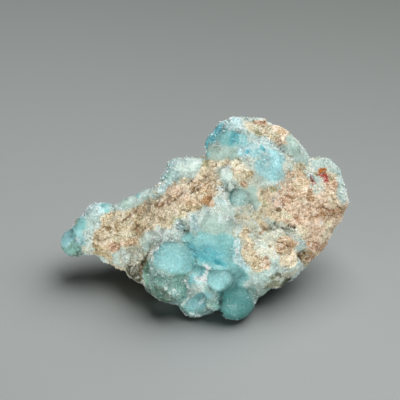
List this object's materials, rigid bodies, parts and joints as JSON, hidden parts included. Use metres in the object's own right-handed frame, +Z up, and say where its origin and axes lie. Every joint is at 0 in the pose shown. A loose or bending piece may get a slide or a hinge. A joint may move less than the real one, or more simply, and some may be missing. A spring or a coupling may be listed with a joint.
{
  "type": "hemimorphite specimen",
  "caption": "Rough hand specimen of blue-green botryoidal hemimorphite on broken tan and pink matrix, with a raised dome and a low arm.",
  "frame": {"origin": "middle of the footprint, at the level the stone stands on", "axes": "+X along the stone's longest way, from the low arm's knob to the broad end; +Z up; the display side faces -Y"},
  "size_m": [0.0602, 0.0326, 0.0359],
  "materials": {
    "hemimorphite": "waxy to sugary blue-green hemimorphite, with broken tan and pink granular matrix between its lobes"
  },
  "bodies": {
    "root": {"specimen": "hemimorphite"}
  },
  "joints": []
}
